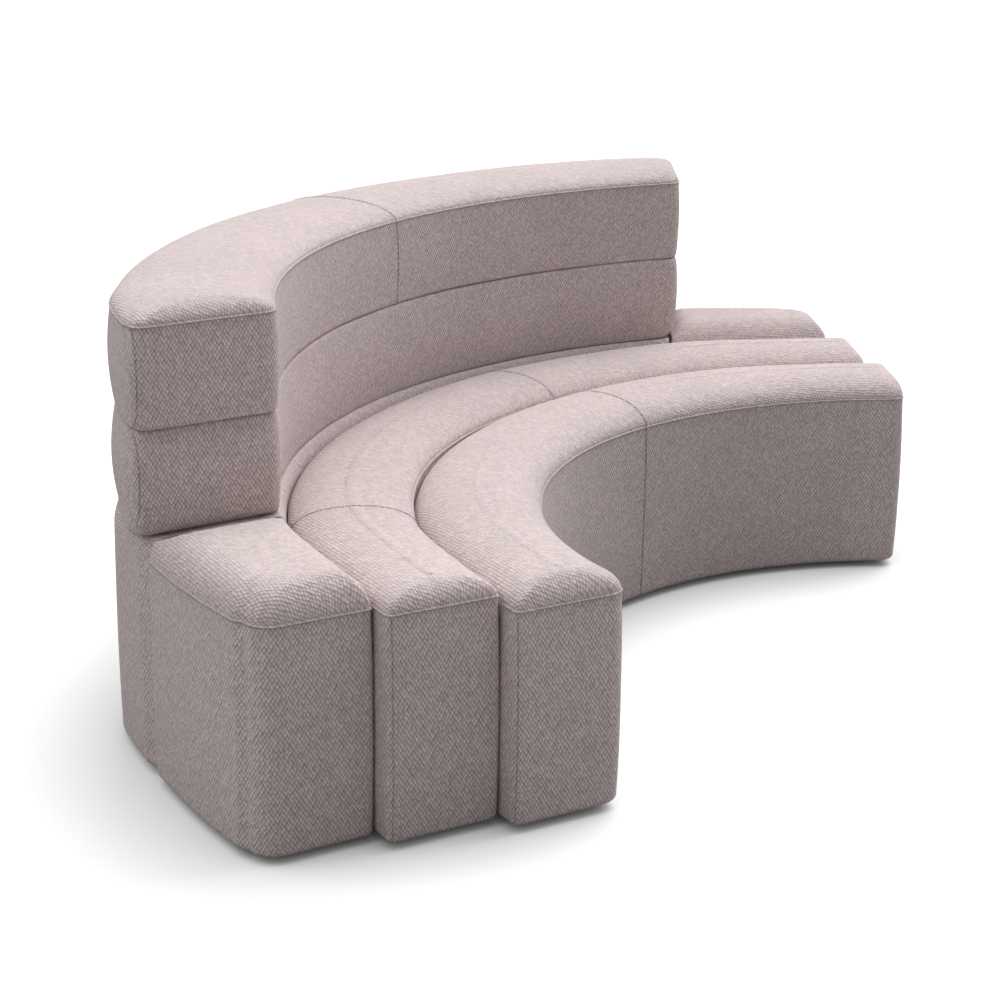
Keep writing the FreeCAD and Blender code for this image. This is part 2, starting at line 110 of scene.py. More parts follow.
# Fineness of the meshes
CORNER_STEPS, END_STEPS, TAIL_STEPS, FOOT_STEPS, CROWN_STEPS, MIDDLE_STEPS = 9, 9, 12, 7, 22, 3
SEAT_SIDE_STEPS, ROLL_SIDE_STEPS = 16, 14
STATION_SPACING, STATION_MARGIN, SHORTEST_RUN, LEAST_RUN = 0.009, 0.004, 0.02, 0.001
BESIDE_SEAM = (0.0012, 0.0022, 0.0032, 0.0045, 0.0065)  # metres of height, or radians of plan angle
SEAM_ROWS_CLEAR, PANEL_ROWS_CLEAR = 0.0068, 0.010
SAME = 1e-6  # heights closer than this count as equal

# Laying the weave: the inset up to which a crown is unrolled, and the row, counted from the middle one, along
# which the length round a piece is taken
UNROLL_INSET, WIDEST_ROW = 0.024, -6

# Weave: spacing of the knobs across and of their rows, and of the stitches, in metres
KNOB_PITCH, KNOB_ROWS, STITCH = 0.0074, 0.0114, 0.0055
KNOB_RANDOM, KNOB_FALL, KNOB_MIDDLE = 0.26, 1.45, 0.50
WANDER_SCALE, WANDER = 30.0, 0.9
THREADS, RIB_STRETCH = ((70.0, 620.0), (620.0, 70.0)), 0.22
CLOUD_SCALE, FUZZ_SCALE = 5.0, 460.0
# Knob colours: the yarn painted darker in the hollows between knobs as shade and lighter on the knobs; this
# painted shade eases on faces turned up to the light
SHADED_YARN, LIT_YARN = (0.366, 0.295, 0.294), (0.872, 0.752, 0.742)
TOP_SHADE_EASE, TONE, HUE_TONE = 0.74, 0.90, 0.20
THREAD_TONE, RIB_TONE, CLOUD_TONE, FUZZ_TONE = 0.26, 0.30, 0.16, 0.44
# Stitches' share of the corner seams' painted shade; how dark seams are painted as shade in their creases; how
# much brighter a seam's lip is painted as a highlight
STITCH_LEAST, STITCH_REST, SEAM_SHADE, LIP_HIGHLIGHT = 0.55, 0.45, 0.42, 0.24
FUZZ_RELIEF, THREAD_RELIEF, WEAVE_BUMP, WEAVE_DEPTH = 0.20, 0.16, 0.9, 0.0017

# Lights, given by the direction they come from and their strength
LIGHTS = (("back_left", (-0.5, 0.6, 1.0), 1.0), ("back_right", (0.9, -0.1, 1.0), 2.32),
          ("overhead", (0.25, -0.15, 1.0), 0.86))
LIGHT_SPREAD = math.radians(60.0)
SKY, SKY_SEEN = 0.255, 0.75
# Floor: its reach, its grey to bounced light and to the camera, its glow to the camera, and the reach of the
# ambient occlusion that dims that glow as a painted contact shadow
FLOOR_REACH, FLOOR_GREY, FLOOR_SEEN, FLOOR_GLOW, CONTACT_SHADOW_REACH = 30, (0.35,) * 3, (0.60,) * 3, 0.56, 0.30

# The camera that the photograph was taken with, as fitted to the bench's corners and seams
CAMERA_PLACE, CAMERA_HEADING = (-3.872, -1.023, 1.625), (0.8828, 0.4698, 0.0)
CAMERA_PITCH, CAMERA_ROLL, CAMERA_LENS, SENSOR = math.radians(17.25), 0.0097, 77.94, 36.0

Row = namedtuple("Row", "inset drawn_in z kind")


def polar(radius, angle):
    return np.array((radius * math.sin(angle), radius * math.cos(angle)))


def angle_of(point):
    return math.atan2(point[0], point[1])


def end_point(radius, offset, face=END_FACE):
    along, outward = polar(1, face), polar(1, face + math.pi / 2)
    return along * math.sqrt(radius ** 2 - offset ** 2) + outward * offset


def ramp(angle, turn):
    share = min(max((abs(angle) - turn[0]) / (turn[1] - turn[0]), 0), 1)
    return share * share * (3 - 2 * share)


def drawn(radius, angle):
    """Plan radius of a long side: the joints and the outer side curve in towards the ends."""
    joint, past = ramp(angle, JOINT_TURN), abs(angle) - OUTER_TURN[0]
    past = (past + math.hypot(past, OUTER_SOFT)) / 2
    outer = OUTER_DRAW * (past / (OUTER_TURN[1] - OUTER_TURN[0])) ** OUTER_POWER
    draws = (0, FRONT_DRAW * joint, REAR_DRAW * joint, outer)
    return radius - float(np.interp(radius, (FRONT_IN, MIDDLE_IN, REAR_IN, REAR_OUT), draws))


def back_drawn(radius, angle):
    """The same for the backrest, whose outer side curves in less."""
    return radius - BACK_DRAW * ramp(angle, BACK_TURN) * (radius - BACK_IN) / (BACK_OUT - BACK_IN)


CENTRE_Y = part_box("rear_pad")[1][1] - drawn(REAR_OUT - REAR_PAD_SHORT, 0)


class End:
    """One end of a strip: its plane, its side of the bench, which way it faces, its bulge and corners."""

    def __init__(self, offset, side, corners, facing=1, bulge=END_BULGE, face=END_FACE, contour=drawn,
                 crown_share=END_CROWN, foot_share=1):
        self.offset, self.side, self.facing, self.bulge = offset, side, facing, bulge
        self.corners, self.face, self.contour = corners, face, contour
        self.shares = {"crown": crown_share, "foot": foot_share}
        self.outward = polar(1, face + math.pi / 2)

    def offsets(self, verts):
        """How far each vertex lies in front of the arcs' centre, square to this end's face."""
        return verts[:, 0] * self.side * self.outward[0] + verts[:, 1] * self.outward[1]


class Strip:
    """Plan of a padded piece: its two radii, its two ends and how far its long sides bulge."""

    def __init__(self, r_in, r_out, left, right, bulges=SEAT_BULGES):
        self.r_in, self.r_out, self.bulges = r_in, r_out, bulges
        self.left, self.right, self.ends = left, right, (left, right)
        self.width, self.middle = r_out - r_in, (r_in + r_out) / 2

    def side_inset(self, outer, row):
        return row.inset + self.bulges[outer] * row.drawn_in

    def radius(self, outer, row):
        inset = self.side_inset(outer, row)
        return self.r_out - inset if outer else self.r_in + inset

    def corner(self, end, outer, row):
        """Points of one corner from the long side to the end plane."""
        inward = -1 if outer else 1
        end_inset = row.inset * end.shares.get(row.kind, 1) + end.bulge * row.drawn_in
        rounding = end.corners[outer]
        if row.kind == "hollow":
            rounding = max(rounding - row.inset, LEAST_CORNER)
        rounding = min(rounding, (self.width - 2 * self.side_inset(outer, row)) * CORNER_WIDTH_SHARE)
        offset = end.offset - end.facing * end_inset
        radius = self.radius(outer, row)
        met = end_point(radius, end.offset if row.kind == "hollow" else offset, end.face)
        radius = end.contour(radius, angle_of(met))
        centre = end_point(radius + inward * rounding, offset - end.facing * rounding, end.face)
        radial, outward = polar(-inward, angle_of(centre)), polar(end.facing, end.face + math.pi / 2)
        start = math.atan2(radial[1], radial[0])
        turn = (math.atan2(outward[1], outward[0]) - start + math.pi) % (2 * math.pi) - math.pi
        points = []
        for step in range(CORNER_STEPS + 1):
            a = start + turn * step / CORNER_STEPS
            p = centre + rounding * np.array((math.cos(a), math.sin(a)))
            points.append(np.array((end.side * p[0], p[1])))
        return points

    def stations(self, rows, seams):
        """Angles between the corners at even spacing, with more of them close to each panel seam."""
        starts = [[angle_of(self.corner(end, outer, row)[0]) for row in rows for outer in (True, False)]
                  for end in self.ends]
        first, last = max(starts[0]) + STATION_MARGIN, min(starts[1]) - STATION_MARGIN
        if last - first < SHORTEST_RUN:
            middle = (first + last) / 2
            first, last = middle - LEAST_RUN / 2, middle + LEAST_RUN / 2
        count = max(2, int((last - first) / (STATION_SPACING / self.middle)))
        angles = list(np.linspace(first, last, count))
        close = [-step for step in reversed(BESIDE_SEAM)] + [0, *BESIDE_SEAM]
        for seam in seams:
            angles = [a for a in angles if abs(a - seam) > PANEL_ROWS_CLEAR]
            angles += [seam + c for c in close]
        return sorted(angles)

    def ring(self, row, angles):
        """One closed plan outline: the far half from left to right, then the near half back."""
        halves = []
        for outer in (True, False):
            radius = self.radius(outer, row)
            corner_l, corner_r = [self.corner(end, outer, row) for end in self.ends]
            before = np.linspace(angle_of(corner_l[0]), angles[0], TAIL_STEPS + 1)[1:-1]
            after = np.linspace(angles[-1], angle_of(corner_r[0]), TAIL_STEPS + 1)[1:-1]
            long_side = [polar(self.left.contour(radius, a), a) for a in (*before, *angles, *after)]
            halves.append(corner_l[::-1] + long_side + corner_r)
        mid_l, mid_r = [(halves[0][k] + halves[1][k]) / 2 for k in (0, -1)]
        out = []
        for half in halves:
            lead = [mid_l + (half[0] - mid_l) * (k + 0.5) / END_STEPS for k in range(END_STEPS)]
            trail = [mid_r + (half[-1] - mid_r) * (k + 0.5) / END_STEPS for k in range(END_STEPS)][::-1]
            out.append(lead + half + trail)
        return np.array(out[0] + out[1][::-1])


# Rows of a cushion's section, from the foot up: each an inset, a share of the bulges drawn in, and a height

def foot(bottom, rounding, inset=None):
    """Rounded lower edge."""
    rows = []
    for k in range(FOOT_STEPS):
        t = math.pi / 2 * k / FOOT_STEPS
        rows.append(((inset or rounding) * (1 - math.sin(t)), 1, bottom + rounding * (1 - math.cos(t))))
    return rows + [(0, 1, bottom + rounding)]


def side(low, high, steps):
    """Bulging side, drawn in least at its middle."""
    rows = []
    for k in range(1, steps):
        s = k / steps
        s = s - SIDE_EASE * math.sin(2 * math.pi * s)
        rows.append((0, 1 - 4 * s * (1 - s), low + (high - low) * s))
    return rows


def top(seam, crown, width, reach):
    """Seam line and elliptical crown."""
    rows = [(0, 1, seam)]
    for k in range(1, CROWN_STEPS + 1):
        t = math.pi / 2 * k / CROWN_STEPS
        rows.append((reach * width / 2 * (1 - math.cos(t)), 1, seam + (crown - seam) * math.sin(t)))
    last, inmost = rows[-1][0], width / 2 - CROWN_MIDDLE
    for k in range(1, MIDDLE_STEPS + 1):
        inset = max(last + (inmost - last) * k / MIDDLE_STEPS, last + CROWN_STEP * k)
        rows.append((inset, 1, crown + CROWN_RISE * k))
    return rows


def near_seam(rows, z):
    """More rows right beside the seam's height."""
    fine = []
    for dz in [-step for step in reversed(BESIDE_SEAM)] + list(BESIDE_SEAM):
        for (i0, d0, z0), (i1, d1, z1) in zip(rows, rows[1:]):
            if z0 <= z + dz < z1 and z1 > z0:
                s = (z + dz - z0) / (z1 - z0)
                fine.append((i0 + (i1 - i0) * s, d0 + (d1 - d0) * s, z + dz))
                break
    kept = [r for r in rows if abs(r[2] - z) > SEAM_ROWS_CLEAR or abs(r[2] - z) < SAME]
    return sorted(kept + fine, key=lambda r: r[2])


def hollow(width, inset, bottom, lid):
    """Insets and heights of the room for the timber, from the middle of its lid down to the bottom."""
    return [(width / 2 - LID_MIDDLE, lid), (inset + HOLLOW_LEDGE, lid), (inset, lid), (inset, bottom)]


def named_rows(outside, inside, seam_z):
    """All rows in order round the section, each with the kind of place it is in."""
    above = seam_z + SAME if seam_z else math.inf
    foot_top = min(z for i, d, z in outside if i == 0) - SAME
    rows = [Row(i, 0, z, "hollow") for i, z in inside]
    for i, d, z in outside:
        rows.append(Row(i, d, z, "crown" if z > above else "foot" if z < foot_top else "side"))
    return rows


def skin_faces(total, count, closed):
    """Quads over all the rings, and the ring that each one starts from."""
    faces, first_rings = [], []
    for k in range(total if closed else total - 1):
        n = (k + 1) % total
        for j in range(count):
            m = (j + 1) % count
            faces.append((k * count + j, k * count + m, n * count + m, n * count + j))
            first_rings.append(k)
    if not closed:
        for k, flip in ((0, True), (total - 1, False)):
            for j in range(count // 2 - 1):
                low, high = k * count + j, k * count + count - 2 - j
                quad = (low, low + 1, high, high + 1)
                faces.append(quad[::-1] if flip else quad)
                first_rings.append(k)
    return faces, first_rings


def hill(distance, width):
    return np.exp(-(distance / width) ** 2)


def beside_corner_seams(strip, verts, corner_seam):
    """How far each vertex lies beside the corner seam of its end, limited to a distance where nothing shows."""
    beside = np.where(np.hypot(verts[:, 0], verts[:, 1]) > strip.middle, FAR_FROM_SEAM, -FAR_FROM_SEAM)
    for end in strip.ends if corner_seam else ():
        along = polar(1, end.face)
        edge = end_point(strip.r_out, end.offset, end.face)
        edge = end_point(end.contour(strip.r_out, angle_of(edge)), end.offset, end.face)
        past = verts[:, 0] * end.side * along[0] + verts[:, 1] * along[1] - (edge @ along - corner_seam)
        near = (np.sign(verts[:, 0]) == end.side) & (end.offsets(verts) > end.offset - CORNER_SEAM_ZONE)
        beside = np.where(near, np.clip(past, -FAR_FROM_SEAM, FAR_FROM_SEAM), beside)
    return beside


def slope_from_backrest(verts, sign, outer):
    """Let a block's top rise softly from its joint at the foot of the backrest's end face."""
    outward = polar(1, BACK_FACE + math.pi / 2)
    ahead = (verts[:, 0] * sign * outward[0] + verts[:, 1] * outward[1] - SPLIT_END[sign]) / BLOCK_SLOPE[sign]
    ahead = np.clip(ahead, 0, 1)
    rise = BLOCK_CROWN + BLOCK_SLOPE_OVER - REAR_PAD_CROWN
    limit = REAR_PAD_CROWN + rise * ahead * ahead * (3 - 2 * ahead)
    verts[:, 2] = np.where(outer & (ahead < 1), np.minimum(verts[:, 2], limit), verts[:, 2])


def lay_cloth(mesh, rows, rings, first_rings, base, widest, seam_z):
    """Map the weave in metres: round and up the sides, and in plan on the top, unrolled over the crown."""
    total, count = len(rows), len(rings[0])
    length = [0.0]
    for p, q in zip(widest, np.roll(widest, -1, axis=0)):
        length.append(length[-1] + float(np.hypot(*(q - p))))
    run = np.zeros(total)
    for k in range(1, total):
        run[k] = run[k - 1] + math.hypot(rows[k].inset - rows[k - 1].inset, rows[k].z - rows[k - 1].z)
    unrolled = np.zeros((total * count, 2))
    if seam_z is not None:
        lowest = next(k for k in range(base, total) if rows[k].z >= seam_z - SAME)
        apart = next(k for k in range(lowest, total) if rows[k].inset > UNROLL_INSET or k == total - 1)
        out_of = np.array(rings[lowest]) - np.array(rings[apart])
        out_of /= np.linalg.norm(out_of, axis=1)[:, None]
        for k in range(lowest, total):
            slack = (run[total - 1] - run[k]) - (rows[total - 1].inset - rows[k].inset)
            unrolled[k * count:(k + 1) * count] = np.array(rings[k]) + out_of * slack
    uv = np.zeros((len(mesh.loops), 2))
    for poly, k in zip(mesh.polygons, first_rings):
        flat = seam_z is not None and k >= base and rows[k].z >= seam_z - SAME
        columns = [v % count for v in poly.vertices]
        wrap = max(columns) - min(columns) > count // 2
        for loop, v, c in zip(poly.loop_indices, poly.vertices, columns):
            uv[loop] = unrolled[v] if flat else (length[count if wrap and c == 0 else c], run[v // count])
    mesh.uv_layers.new(name="cloth").data.foreach_set("uv", uv.reshape(-1))


def make_pad(name, strip, outside, inside, closed=False, seam_z=None, rim=True, panels=(), corner_seam=None,
             seed=0.0, sloped=0):
    """Padded piece from plan outlines: outside rows from the foot to the top, inside rows of its hollow."""
    rows, base = named_rows(outside, inside, seam_z), len(inside)
    seams = [math.radians(s) for s in panels]
    angles = strip.stations(rows, seams)
    rings = [strip.ring(row, angles) for row in rows]
    total, count = len(rows), len(rings[0])
    verts = np.array([[(p[0], p[1], row.z) for p in ring] for ring, row in zip(rings, rows)]).reshape(-1, 3)
    faces, first_rings = skin_faces(total, count, closed)
    mesh = bpy.data.meshes.new(name)
    mesh.from_pydata(verts.tolist(), [], faces)
    mesh.update()
    obj = bpy.data.objects.new(name, mesh)
    bpy.context.scene.collection.objects.link(obj)

    normals = np.zeros(len(verts) * 3)
    mesh.vertex_normals.foreach_get("vector", normals)
    around, radius = np.arctan2(verts[:, 0], verts[:, 1]), np.hypot(verts[:, 0], verts[:, 1])
    outer = np.repeat(np.arange(total), count) >= base
    groove_and_shade, lip = np.zeros(len(verts)), np.zeros(len(verts))
    for seam in seams:
        groove_and_shade = np.maximum(groove_and_shade, hill((around - seam) * radius, SEAM_WIDTH))
    if seam_z and rim:
        edge = np.repeat([row.inset for row in rows], count) < RIM_INSET
        groove_and_shade = np.maximum(groove_and_shade, hill(verts[:, 2] - seam_z, SEAM_WIDTH) * edge)
        # Raised lip just above the seam, which the fabric also paints brighter as a highlight
        lip = hill(verts[:, 2] - seam_z - LIP_HEIGHT, LIP_WIDTH) * edge
    beside = beside_corner_seams(strip, verts, corner_seam)
    swell = np.array([sum(noise.noise(Vector((x * s + seed, y * s, z * s))) * high for s, high in SWELLS)
                      for x, y, z in verts])
    move = np.where(outer, swell - groove_and_shade * SEAM_DEPTH + lip * LIP_RISE, 0)
    move[verts[:, 2] < UNDER + STILL_EDGE] = 0
    verts = verts + normals.reshape(-1, 3) * move[:, None]
    if sloped:
        slope_from_backrest(verts, sloped, outer)
    upright = outer & (verts[:, 2] < (seam_z or math.inf)) & bool(corner_seam)
    # Painted shade along the left split with the end block. It goes into the seam mark only and does not dent
    # the mesh.
    for end in strip.ends:
        if end.face == BACK_FACE and end.contour is drawn and end.side == LEFT:
            near = np.sign(verts[:, 0]) == end.side
            shade = hill(end.offsets(verts) - end.offset, SPLIT_SHADE) * near * SPLIT_DARK
            groove_and_shade = np.maximum(groove_and_shade, shade)
    verts[:, 1] += CENTRE_Y
    mesh.vertices.foreach_set("co", verts.reshape(-1))

    lay_cloth(mesh, rows, rings, first_rings, base, rings[base + len(outside) // 2 + WIDEST_ROW], seam_z)
    # The seam mark carries the painted shade of the seams and of the left split; the lip mark also drives a
    # painted highlight
    marks = (("seam", np.where(outer, groove_and_shade, 0)), ("lip", lip), ("beside", beside), ("upright", upright))
    for word, values in marks:
        mesh.attributes.new(word, "FLOAT", "POINT").data.foreach_set("value", values.astype(np.float32))
    for poly in mesh.polygons:
        poly.use_smooth = True
    mesh.update()
    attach(obj, "root")
    return obj


class Tree:
    """Short ways to add nodes to the tree of a material or of the world."""

    def __init__(self, owner):
        owner.use_nodes = True
        self.nodes, self.links = owner.node_tree.nodes, owner.node_tree.links
        self.nodes.clear()

    def add(self, kind):
        return self.nodes.new("ShaderNode" + kind)

    def put(self, value, socket):
        """Set a socket to a number or a colour, or link another socket to it."""
        if isinstance(value, (int, float)):
            socket.default_value = value
        elif isinstance(value, tuple):
            socket.default_value = value + (1.0,)
        else:
            self.links.new(value, socket)

    def math(self, op, *values, clamp=False):
        node = self.add("Math")
        node.operation, node.use_clamp = op, clamp
        for value, socket in zip(values, node.inputs):
            self.put(value, socket)
        return node.outputs[0]

    def plus(self, a, b, clamp=False):
        return self.math("ADD", a, b, clamp=clamp)

    def less(self, a, b, clamp=False):
        return self.math("SUBTRACT", a, b, clamp=clamp)

    def times(self, a, b):
        return self.math("MULTIPLY", a, b)

    def mix(self, fac, a, b, blend="MIX"):
        node = self.add("Mix")
        node.data_type, node.blend_type = "RGBA", blend
        for socket, value in ((node.inputs[0], fac), (node.inputs[6], a), (node.inputs[7], b)):
            self.put(value, socket)
        return node.outputs[2]

    def noise(self, vector, scale, detail=2.0, rough=0.5, dims="3D"):
        node = self.add("TexNoise")
        node.noise_dimensions = dims
        for name, value in (("Scale", scale), ("Detail", detail), ("Roughness", rough), ("Vector", vector)):
            self.put(value, node.inputs[name])
        return node.outputs[0]

    def combined(self, *parts):
        node = self.add("CombineXYZ")
        for part, socket in zip(parts, node.inputs):
            self.put(part, socket)
        return node.outputs[0]

    def parted(self, vector):
        node = self.add("SeparateXYZ")
        self.put(vector, node.inputs[0])
        return node.outputs

    def mark(self, word):
        """Value that the mesh carries under this word."""
        node = self.add("Attribute")
        node.attribute_name = word
        return node.outputs["Fac"]

    def bump(self, shader, height, strength, distance):
        node = self.add("Bump")
        for name, value in (("Strength", strength), ("Distance", distance), ("Height", height)):
            self.put(value, node.inputs[name])
        self.put(node.outputs[0], shader.inputs["Normal"])


def coated(name, **settings):
    """New material with one shader, whose plain settings are given by their words."""
    mat = bpy.data.materials.new(name)
    tree = Tree(mat)
    out, shader = tree.add("OutputMaterial"), tree.add("BsdfPrincipled")
    tree.put(shader.outputs[0], out.inputs[0])
    for word, value in settings.items():
        shader.inputs[word.replace("_", " ")].default_value = value
    return mat, tree, shader


def fabric():
    """Mauve-grey pebble weave: staggered rows of small knobs with uneven yarn. The hollows between knobs are
    painted darker as shade, less so on the upward-facing tops. There is painted shade along the seams and a
    painted highlight on their lips.
    """
    mat, tree, shader = coated("pebble_weave", Roughness=0.93, Specular_IOR_Level=0.2, Sheen_Weight=0.15,
                               Sheen_Roughness=0.6)
    cloth_map = tree.add("UVMap")
    cloth_map.uv_map = "cloth"
    uv = cloth_map.outputs[0]
    place = tree.add("TexCoord").outputs["Object"]
    u, v = tree.parted(uv)[:2]
    across, up = tree.times(u, 1 / KNOB_PITCH), tree.times(v, 1 / KNOB_ROWS)
    wander = tree.times(tree.noise(uv, WANDER_SCALE, dims="2D"), WANDER)
    falling, rising = tree.plus(tree.plus(across, up), wander), tree.less(across, up)
    cells = tree.add("TexVoronoi")
    cells.voronoi_dimensions = "2D"
    where = tree.combined(falling, rising)
    for name, value in (("Scale", 1.0), ("Randomness", KNOB_RANDOM), ("Vector", where)):
        tree.put(value, cells.inputs[name])
    knob = tree.less(1.0, tree.times(cells.outputs["Distance"], KNOB_FALL), clamp=True)
    hue = tree.parted(cells.outputs["Color"])[0]
    threads = [tree.noise(tree.combined(tree.times(u, ku), tree.times(v, kv)), 1.0, 3.0, 0.6, "2D")
               for ku, kv in THREADS]
    rib = tree.noise(tree.combined(falling, tree.times(rising, RIB_STRETCH)), 1.0, dims="2D")
    cloud, fuzz = tree.noise(place, CLOUD_SCALE, 4.0, 0.6), tree.noise(place, FUZZ_SCALE, 3.0, 0.7)

    # Painted shade in the hollows between knobs, weaker on faces turned up toward the light from above
    facing_up = tree.parted(tree.add("NewGeometry").outputs["Normal"])[2]
    top_lit = tree.math("POWER", tree.math("MAXIMUM", facing_up, 0.0), 2.0)
    shade = tree.times(tree.less(knob, KNOB_MIDDLE), tree.less(1.0, tree.times(top_lit, TOP_SHADE_EASE)))
    colour = tree.mix(tree.plus(shade, KNOB_MIDDLE, clamp=True), SHADED_YARN, LIT_YARN)
    tone = tree.plus(TONE, tree.times(hue, HUE_TONE))
    for source, amount in ((threads[0], THREAD_TONE), (threads[1], THREAD_TONE), (rib, RIB_TONE),
                           (cloud, CLOUD_TONE), (fuzz, FUZZ_TONE)):
        tone = tree.times(tone, tree.plus(1 - amount / 2, tree.times(source, amount)))
    seam, lip, beside, upright = [tree.mark(word) for word in ("seam", "lip", "beside", "upright")]
    stitch = tree.math("ABSOLUTE", tree.math("SINE", tree.times(v, math.pi / STITCH)))
    # Corner seams: painted shade in the upright seam's crease, broken by the stitches, and also a dent in the
    # bump
    corner = tree.less(1.0, tree.times(tree.math("ABSOLUTE", beside), 1 / CORNER_SEAM_WIDTH), clamp=True)
    corner = tree.times(tree.times(corner, upright), tree.plus(STITCH_LEAST, tree.times(stitch, STITCH_REST)))
    # Painted shade along the seams, the corner seams and the left split
    dark = tree.math("MAXIMUM", seam, corner)
    tone = tree.times(tone, tree.less(1.0, tree.times(dark, SEAM_SHADE)))
    # Painted highlight along the lip above each seam
    tone = tree.plus(tone, tree.times(lip, LIP_HIGHLIGHT))
    tree.put(tree.mix(1.0, colour, tree.combined(tone, tone, tone), "MULTIPLY"), shader.inputs["Base Color"])
    relief = tree.plus(tree.plus(knob, tree.times(fuzz, FUZZ_RELIEF)), tree.times(threads[0], THREAD_RELIEF))
    tree.bump(shader, tree.less(relief, corner), WEAVE_BUMP, WEAVE_DEPTH)
    return mat


def simple(name, dark, light, rough, scale, stretch=(1, 1, 1), relief=0.0004):
    """Plain rigid finish with a stretched grain."""
    mat, tree, shader = coated(name, Roughness=rough)
    mapping = tree.add("Mapping")
    mapping.inputs["Scale"].default_value = stretch
    tree.put(tree.add("TexCoord").outputs["Object"], mapping.inputs["Vector"])
    grain = tree.noise(mapping.outputs[0], scale, 5.0, 0.6)
    tree.put(tree.mix(grain, dark, light), shader.inputs["Base Color"])
    tree.bump(shader, grain, 0.4, relief)
    return mat


def dress(obj, mat):
    obj.data.materials.clear()
    obj.data.materials.append(mat)


def free_ends(offset, corners):
    return [End(offset, sign, corners) for sign in (LEFT, RIGHT)]


def roll_ends(offsets, foot_share=1):
    return [End(offsets[sign], sign, ROLL_CORNERS, bulge=ROLL_END_BULGE, face=BACK_FACE, contour=back_drawn,
                foot_share=foot_share) for sign in (LEFT, RIGHT)]


def split_end(sign, facing):
    """End at the joint between the rear strip's middle part and an end block."""
    offset = SPLIT_END[sign] + (0 if facing > 0 else SPLIT_GAP)
    return End(offset, sign, SPLIT_CORNERS, facing, SPLIT_BULGE, BACK_FACE, crown_share=SPLIT_CROWN)


def seat_pad(name, strip, seam, crown, reach=CROWN_REACH, **facts):
    rows = foot(UNDER, FOOT) + side(UNDER + FOOT, seam, SEAT_SIDE_STEPS)
    rows += top(seam, crown, strip.width, reach)
    room = hollow(strip.width, FOAM, UNDER, SEAT_BOARD_TOP)
    return make_pad(name, strip, near_seam(rows, seam), room, seam_z=seam, **facts)


def lower_roll():
    joint = BACK_JOINT - ROLL_GAP
    edge = [(i, d, 2 * joint - z) for i, d, z in reversed(foot(joint, ROLL_EDGE))]
    rows = foot(BACK_UNDER, ROLL_FOOT, ROLL_FOOT_INSET)
    rows += side(BACK_UNDER + ROLL_FOOT, joint - ROLL_EDGE, ROLL_SIDE_STEPS) + edge
    strip = Strip(BACK_IN, BACK_OUT, *roll_ends(LOWER_ROLL_END, ROLL_FOOT_END), ROLL_BULGES)
    return make_pad("lower_roll", strip, rows, [(BACK_FOAM, joint), (BACK_FOAM, BACK_UNDER)], closed=True,
                    corner_seam=ROLL_CORNER_SEAM, seed=6.0)


def upper_roll():
    strip = Strip(BACK_IN, BACK_OUT, *roll_ends(UPPER_ROLL_END), ROLL_BULGES)
    rows = foot(BACK_JOINT, ROLL_EDGE) + side(BACK_JOINT + ROLL_EDGE, BACK_SEAM, ROLL_SIDE_STEPS)
    rows = near_seam(rows + top(BACK_SEAM, BACK_CROWN, strip.width, CROWN_REACH), BACK_SEAM)
    return make_pad("upper_roll", strip, rows, hollow(strip.width, BACK_FOAM, BACK_JOINT, BACK_BOARD_TOP),
                    seam_z=BACK_SEAM, panels=ROLL_PANELS, corner_seam=ROLL_CORNER_SEAM, seed=7.0)


cloth = fabric()
front = Strip(FRONT_IN, MIDDLE_IN - STRIP_GAP, *free_ends(FRONT_END, FRONT_CORNERS))
pads = [seat_pad("front_cushion", front, FRONT_SEAM, FRONT_CROWN, panels=FRONT_PANELS,
                 corner_seam=FRONT_CORNER_SEAM, seed=1.0)]
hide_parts("front_pad")
middle = Strip(MIDDLE_IN, REAR_IN - STRIP_GAP, *free_ends(MIDDLE_END, MIDDLE_CORNERS))
pads.append(seat_pad("middle_cushion", middle, REAR_SEAM, MIDDLE_CROWN, panels=MIDDLE_PANELS,
                     corner_seam=MIDDLE_CORNER_SEAM, seed=2.0))
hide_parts("middle_pad")
rear = Strip(REAR_IN, REAR_OUT, split_end(LEFT, 1), split_end(RIGHT, 1))
pads.append(seat_pad("rear_cushion", rear, REAR_SEAM, REAR_PAD_CROWN, REAR_REACH, rim=False, seed=3.0))
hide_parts("rear_pad")
for word, sign in (("left", LEFT), ("right", RIGHT)):
    against = split_end(sign, -1)
    free = End(REAR_END, sign, BLOCK_CORNERS, crown_share=BLOCK_END_CROWN)
    block = Strip(REAR_IN, REAR_OUT, *((free, against) if sign == LEFT else (against, free)))
    pads.append(seat_pad("end_block_" + word, block, REAR_SEAM, BLOCK_CROWN, BLOCK_REACH, seed=4.0 + sign,
                         sloped=sign))
    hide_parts("block_" + word + "_pad")
pads.append(lower_roll())
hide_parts("back_lower_roll")
pads.append(upper_roll())
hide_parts("back_upper_roll")
for pad in pads:
    dress(pad, cloth)

ply = simple("birch_plywood", (0.52, 0.37, 0.22), (0.74, 0.60, 0.42), 0.6, 14.0, (1, 9, 1))
hard = simple("hardboard", (0.20, 0.12, 0.07), (0.32, 0.21, 0.13), 0.7, 90.0)
steel = simple("black_powder_coat", (0.018, 0.018, 0.019), (0.030, 0.030, 0.032), 0.45, 400.0, relief=0.0001)
plastic = simple("black_plastic", (0.012, 0.012, 0.012), (0.022, 0.022, 0.022), 0.5, 300.0, relief=0.0001)
for node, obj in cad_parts.items():
    if node == "glides":
        dress(obj, plastic)
    elif node == "link_plates" or node.startswith("back_post"):
        dress(obj, steel)
    elif node.endswith("_skin"):
        dress(obj, hard)
    elif not (node.endswith("_pad") or node.endswith("_roll")):
        dress(obj, ply)
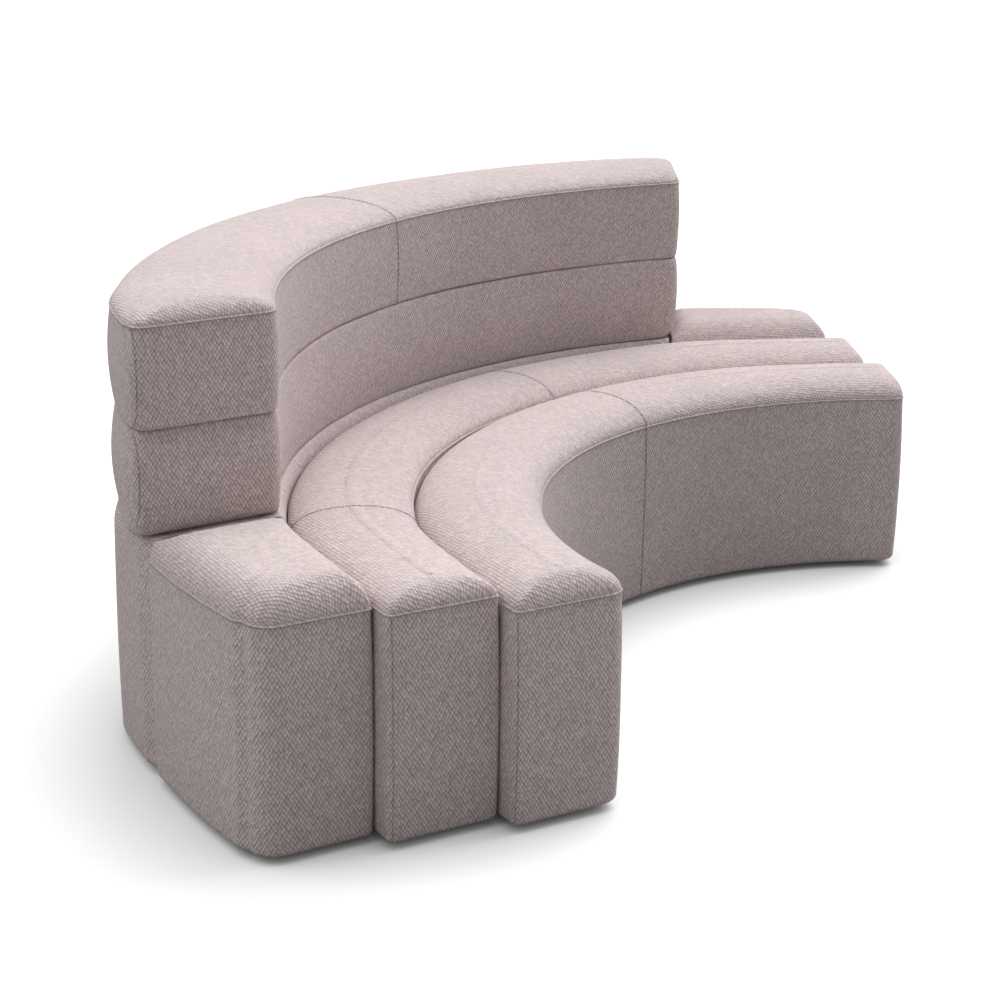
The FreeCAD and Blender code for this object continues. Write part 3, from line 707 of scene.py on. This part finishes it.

# Floor: plain and pale, white to the camera where it is lit, so that only the shadow shows. Near the bench,
# ambient occlusion dims its glow to the camera: a painted contact shadow over the real one.
far = FLOOR_REACH
mesh = bpy.data.meshes.new("floor")
mesh.from_pydata([(-far, -far, 0), (far, -far, 0), (far, far, 0), (-far, far, 0)], [], [(0, 1, 2, 3)])
floor = bpy.data.objects.new("floor", mesh)
bpy.context.scene.collection.objects.link(floor)
floor_paint = bpy.data.materials.new("floor_paint")
tree = Tree(floor_paint)
out, both = tree.add("OutputMaterial"), tree.add("AddShader")
paint, glow = tree.add("BsdfDiffuse"), tree.add("Emission")
seen = tree.add("LightPath").outputs["Is Camera Ray"]
tree.put(tree.mix(seen, FLOOR_GREY, FLOOR_SEEN), paint.inputs["Color"])
# Painted contact shadow: ambient occlusion dims the floor's glow to the camera close to the bench
contact_shadow = tree.add("AmbientOcclusion")
contact_shadow.inputs["Distance"].default_value = CONTACT_SHADOW_REACH
tree.put(tree.times(tree.times(contact_shadow.outputs["AO"], FLOOR_GLOW), seen), glow.inputs["Strength"])
tree.put(paint.outputs[0], both.inputs[0])
tree.put(glow.outputs[0], both.inputs[1])
tree.put(both.outputs[0], out.inputs[0])
dress(floor, floor_paint)

# Sky: soft grey light on the object, white to the camera and to mirror-like surfaces
world = bpy.data.worlds.new("studio")
bpy.context.scene.world = world
tree = Tree(world)
out, sky = tree.add("OutputWorld"), tree.add("Background")
rays = tree.add("LightPath").outputs
seen = tree.math("MAXIMUM", tree.math("MAXIMUM", rays["Is Camera Ray"], rays["Is Glossy Ray"]),
                 rays["Is Transmission Ray"])
sky.inputs["Color"].default_value = (1, 1, 1, 1)
tree.put(tree.plus(SKY, tree.times(seen, SKY_SEEN)), sky.inputs["Strength"])
tree.put(sky.outputs[0], out.inputs[0])

for name, origin, strength in LIGHTS:
    light = bpy.data.lights.new(name, "SUN")
    light.energy, light.angle = strength, LIGHT_SPREAD
    obj = bpy.data.objects.new(name, light)
    bpy.context.scene.collection.objects.link(obj)
    obj.rotation_euler = Vector(origin).to_track_quat("Z", "Y").to_euler()

heading = Vector(CAMERA_HEADING).normalized()
forward = heading * math.cos(CAMERA_PITCH) + Vector((0, 0, -math.sin(CAMERA_PITCH)))
right = forward.cross(Vector((0, 0, 1))).normalized()
up = right.cross(forward)
co, si = math.cos(CAMERA_ROLL), math.sin(CAMERA_ROLL)
right, up = right * co + up * si, up * co - right * si
camera = bpy.data.cameras.new("camera")
camera.lens, camera.sensor_width = CAMERA_LENS, SENSOR
holder = bpy.data.objects.new("camera", camera)
bpy.context.scene.collection.objects.link(holder)
x, y, z = CAMERA_PLACE
holder.matrix_world = Matrix(((right.x, up.x, -forward.x, x), (right.y, up.y, -forward.y, y + CENTRE_Y),
                              (right.z, up.z, -forward.z, z), (0, 0, 0, 1)))
bpy.context.scene.camera = holder
bpy.context.scene.view_settings.view_transform = "Standard"
